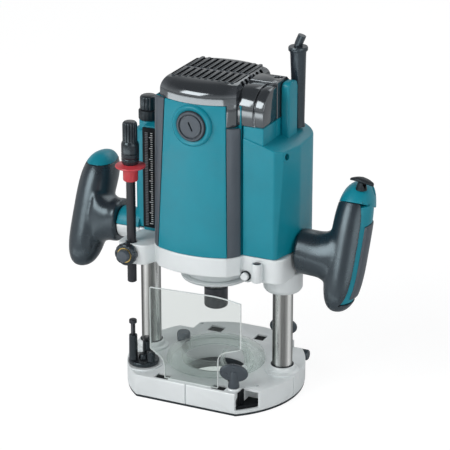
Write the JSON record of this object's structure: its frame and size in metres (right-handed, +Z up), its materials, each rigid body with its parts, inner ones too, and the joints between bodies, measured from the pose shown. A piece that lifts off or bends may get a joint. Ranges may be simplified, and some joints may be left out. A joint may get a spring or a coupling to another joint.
{
  "type": "plunge router",
  "caption": "Plunge router: round-fronted base with two columns, a sliding motor unit with two leaning handles, a depth stop, a clear guard and a top cord.",
  "frame": {"origin": "the middle of the footprint, in the plane of the base underside; the spindle axis stands 8.5 mm in front of it", "axes": "+X towards the handle with the switch, +Y away from the face with the depth stop, +Z up along the spindle"},
  "size_m": [0.283, 0.146, 0.3237],
  "materials": {
    "cast_metal": "fine sand-cast and painted pale grey",
    "black_nylon": "moulded, matt",
    "bright_steel": "ground",
    "dark_steel": "blackened and oiled",
    "clear_plastic": "clear polycarbonate",
    "grip_rubber": "soft, fine texture",
    "grey_plastic": "fine texture",
    "black_plastic": "satin moulded",
    "teal_plastic": "satin moulded",
    "red_plastic": "satin moulded",
    "carbon": "pressed carbon",
    "copper": "turned copper"
  },
  "bodies": {
    "base": {"base_casting": "cast_metal", "base_plate": "black_nylon", "column_left": "bright_steel", "column_right": "bright_steel", "limit_rod": "bright_steel", "dust_nozzle": "clear_plastic", "chip_shield": "clear_plastic", "guide_bore_plug": "grip_rubber"},
    "thumb_screw": {"nozzle_thumb_screw": "grey_plastic"},
    "front_wing_bolt": {"wing_bolt_front": "black_plastic"},
    "rear_wing_bolt": {"wing_bolt_rear": "black_plastic"},
    "lower_limit_nut": {"limit_nut": "black_nylon"},
    "upper_limit_knob": {"limit_knob": "black_plastic"},
    "turret": {"stop_turret": "black_plastic", "stop_bolt_tall": "dark_steel", "stop_bolt_short": "dark_steel"},
    "carriage": {"gear_housing": "cast_metal", "bearing_cover": "cast_metal", "column_bush_left": "dark_steel", "column_bush_right": "dark_steel", "plunge_spring_left": "bright_steel", "plunge_spring_right": "bright_steel", "motor_housing": "teal_plastic", "front_panel": "teal_plastic", "rear_panel": "teal_plastic", "corner_strip_front_left": "grey_plastic", "corner_strip_front_right": "grey_plastic", "corner_strip_rear_left": "grey_plastic", "corner_strip_rear_right": "grey_plastic", "top_cover": "black_plastic", "switch_box": "teal_plastic", "cord_guard": "grip_rubber", "power_cord": "grip_rubber", "column_housing_left": "teal_plastic", "scale_plate": "black_plastic", "handle_left": "grip_rubber", "handle_left_cap": "teal_plastic", "handle_right": "grip_rubber", "handle_right_cap": "teal_plastic", "brush_front": "carbon", "brush_rear": "carbon", "stator": "dark_steel", "bearing_upper": "bright_steel", "bearing_lower": "bright_steel"},
    "spindle": {"spindle_shaft": "bright_steel", "armature_core": "copper", "commutator": "copper", "cooling_fan": "black_nylon", "collet_nut": "dark_steel"},
    "trigger": {"switch_trigger": "grey_plastic"},
    "lock_off": {"lock_off_lever": "black_plastic"},
    "depth_rod": {"stop_rod": "dark_steel"},
    "depth_knob": {"stop_knob": "black_plastic"},
    "pointer": {"depth_pointer": "red_plastic"},
    "rod_clamp": {"clamp_nut": "black_plastic"},
    "feed_button": {"fast_feed_button": "black_plastic"},
    "lock_lever": {"plunge_lock_lever": "grey_plastic"},
    "shaft_lock": {"spindle_lock_button": "bright_steel"},
    "front_brush_cap": {"brush_cap_front": "grey_plastic"},
    "rear_brush_cap": {"brush_cap_rear": "grey_plastic"}
  },
  "joints": [
    {"name": "plunge_slide", "type": "slide", "parent": "base", "child": "carriage", "axis": [0, 0, -1], "range_m": [0, 0.036], "deforming": ["plunge_spring_left", "plunge_spring_right"]},
    {"name": "spindle_spin", "type": "hinge", "parent": "carriage", "child": "spindle", "pos_m": [0, -0.0085, 0.2], "axis": [0, 0, 1], "continuous": true},
    {"name": "stop_rod_slide", "type": "slide", "parent": "carriage", "child": "depth_rod", "axis": [0, 0, 1], "range_m": [0, 0.045]},
    {"name": "stop_knob_turn", "type": "hinge", "parent": "depth_rod", "child": "depth_knob", "pos_m": [-0.0604, -0.0535, 0.24], "axis": [0, 0, 1], "continuous": true},
    {"name": "depth_pointer_slide", "type": "slide", "parent": "depth_rod", "child": "pointer", "axis": [0, 0, -1], "range_m": [0, 0.03]},
    {"name": "clamp_nut_turn", "type": "hinge", "parent": "carriage", "child": "rod_clamp", "pos_m": [-0.0604, -0.0635, 0.1315], "axis": [0, -1, 0], "range_deg": [0, 180]},
    {"name": "fast_feed_button_press", "type": "slide", "parent": "rod_clamp", "child": "feed_button", "axis": [0, 1, 0], "range_m": [0, 0.002]},
    {"name": "trigger_press", "type": "slide", "parent": "carriage", "child": "trigger", "axis": [-1, 0, 0], "range_m": [0, 0.0025]},
    {"name": "lock_off_press", "type": "slide", "parent": "carriage", "child": "lock_off", "axis": [0, 0, -1], "range_m": [0, 0.002]},
    {"name": "plunge_lock_lever_turn", "type": "hinge", "parent": "carriage", "child": "lock_lever", "pos_m": [-0.06, 0.0099, 0.128], "axis": [0, 1, 0], "range_deg": [-5, 25]},
    {"name": "spindle_lock_button_press", "type": "slide", "parent": "carriage", "child": "shaft_lock", "axis": [0, 1, 0], "range_m": [0, 0.003]},
    {"name": "brush_cap_front_turn", "type": "hinge", "parent": "carriage", "child": "front_brush_cap", "pos_m": [0, -0.0565, 0.2553], "axis": [0, 1, 0], "continuous": true},
    {"name": "brush_cap_rear_turn", "type": "hinge", "parent": "carriage", "child": "rear_brush_cap", "pos_m": [0, 0.0395, 0.2553], "axis": [0, 1, 0], "continuous": true},
    {"name": "limit_nut_turn", "type": "hinge", "parent": "base", "child": "lower_limit_nut", "pos_m": [-0.065, -0.0085, 0.243], "axis": [0, 0, 1], "continuous": true},
    {"name": "limit_knob_turn", "type": "hinge", "parent": "base", "child": "upper_limit_knob", "pos_m": [-0.065, -0.0085, 0.253], "axis": [0, 0, 1], "continuous": true},
    {"name": "stop_turret_turn", "type": "hinge", "parent": "base", "child": "turret", "pos_m": [-0.0531, -0.0474, 0.025], "axis": [0, 0, 1], "continuous": true},
    {"name": "wing_bolt_front_turn", "type": "hinge", "parent": "base", "child": "front_wing_bolt", "pos_m": [0.042, -0.061, 0.03], "axis": [0, 0, 1], "continuous": true},
    {"name": "wing_bolt_rear_turn", "type": "hinge", "parent": "base", "child": "rear_wing_bolt", "pos_m": [0.04, 0.0505, 0.03], "axis": [0, 0, 1], "continuous": true},
    {"name": "nozzle_thumb_screw_turn", "type": "hinge", "parent": "base", "child": "thumb_screw", "pos_m": [-0.0365, -0.0005, 0.033], "axis": [0, 0, 1], "continuous": true}
  ]
}
